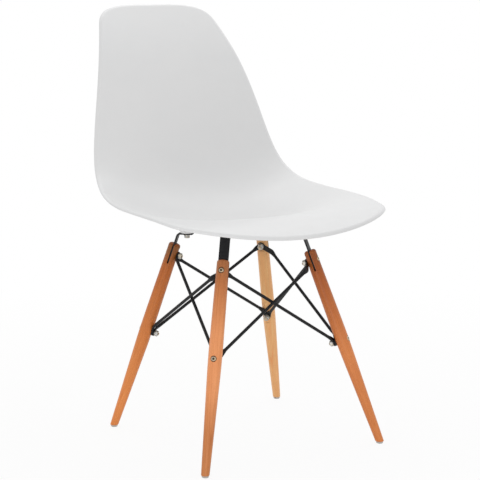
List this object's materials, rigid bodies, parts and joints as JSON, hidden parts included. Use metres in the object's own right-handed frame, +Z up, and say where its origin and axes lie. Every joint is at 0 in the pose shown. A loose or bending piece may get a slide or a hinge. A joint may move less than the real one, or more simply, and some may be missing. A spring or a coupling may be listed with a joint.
{
  "type": "moulded plastic shell chair",
  "caption": "Side chair with a one-piece moulded white plastic shell on splayed round wooden legs, tied by crossed black steel wires.",
  "frame": {"origin": "on the floor, under the middle of the chair's overall box", "axes": "+Z up, -Y the way a sitter faces, +X to the sitter's left"},
  "size_m": [0.488, 0.5951, 0.8225],
  "materials": {
    "white_plastic": "satin moulded polypropylene",
    "wood": "clear satin lacquer over stained beech",
    "black_steel": "black powder coat, satin",
    "plated_steel": "zinc plated",
    "brass": "machined",
    "glide_plastic": "moulded polyethylene"
  },
  "bodies": {
    "root": {"seat_shell": "white_plastic", "leg_front_right": "wood", "bracket_front_right": "black_steel", "brace_front_right": "black_steel", "foot_glide_front_right": "glide_plastic", "leg_front_left": "wood", "bracket_front_left": "black_steel", "brace_front_left": "black_steel", "foot_glide_front_left": "glide_plastic", "leg_rear_left": "wood", "bracket_rear_left": "black_steel", "brace_rear_left": "black_steel", "foot_glide_rear_left": "glide_plastic", "leg_rear_right": "wood", "bracket_rear_right": "black_steel", "brace_rear_right": "black_steel", "foot_glide_rear_right": "glide_plastic", "upper_leg_bolts": "plated_steel", "upper_leg_washers": "plated_steel", "upper_leg_nuts": "plated_steel", "lower_leg_bolts": "plated_steel", "lower_leg_washers": "plated_steel", "lower_leg_nuts": "plated_steel", "seat_bolts": "plated_steel", "seat_flat_washers": "plated_steel", "seat_spring_washers": "plated_steel", "glide_nails": "plated_steel", "seat_inserts": "brass"}
  },
  "joints": []
}
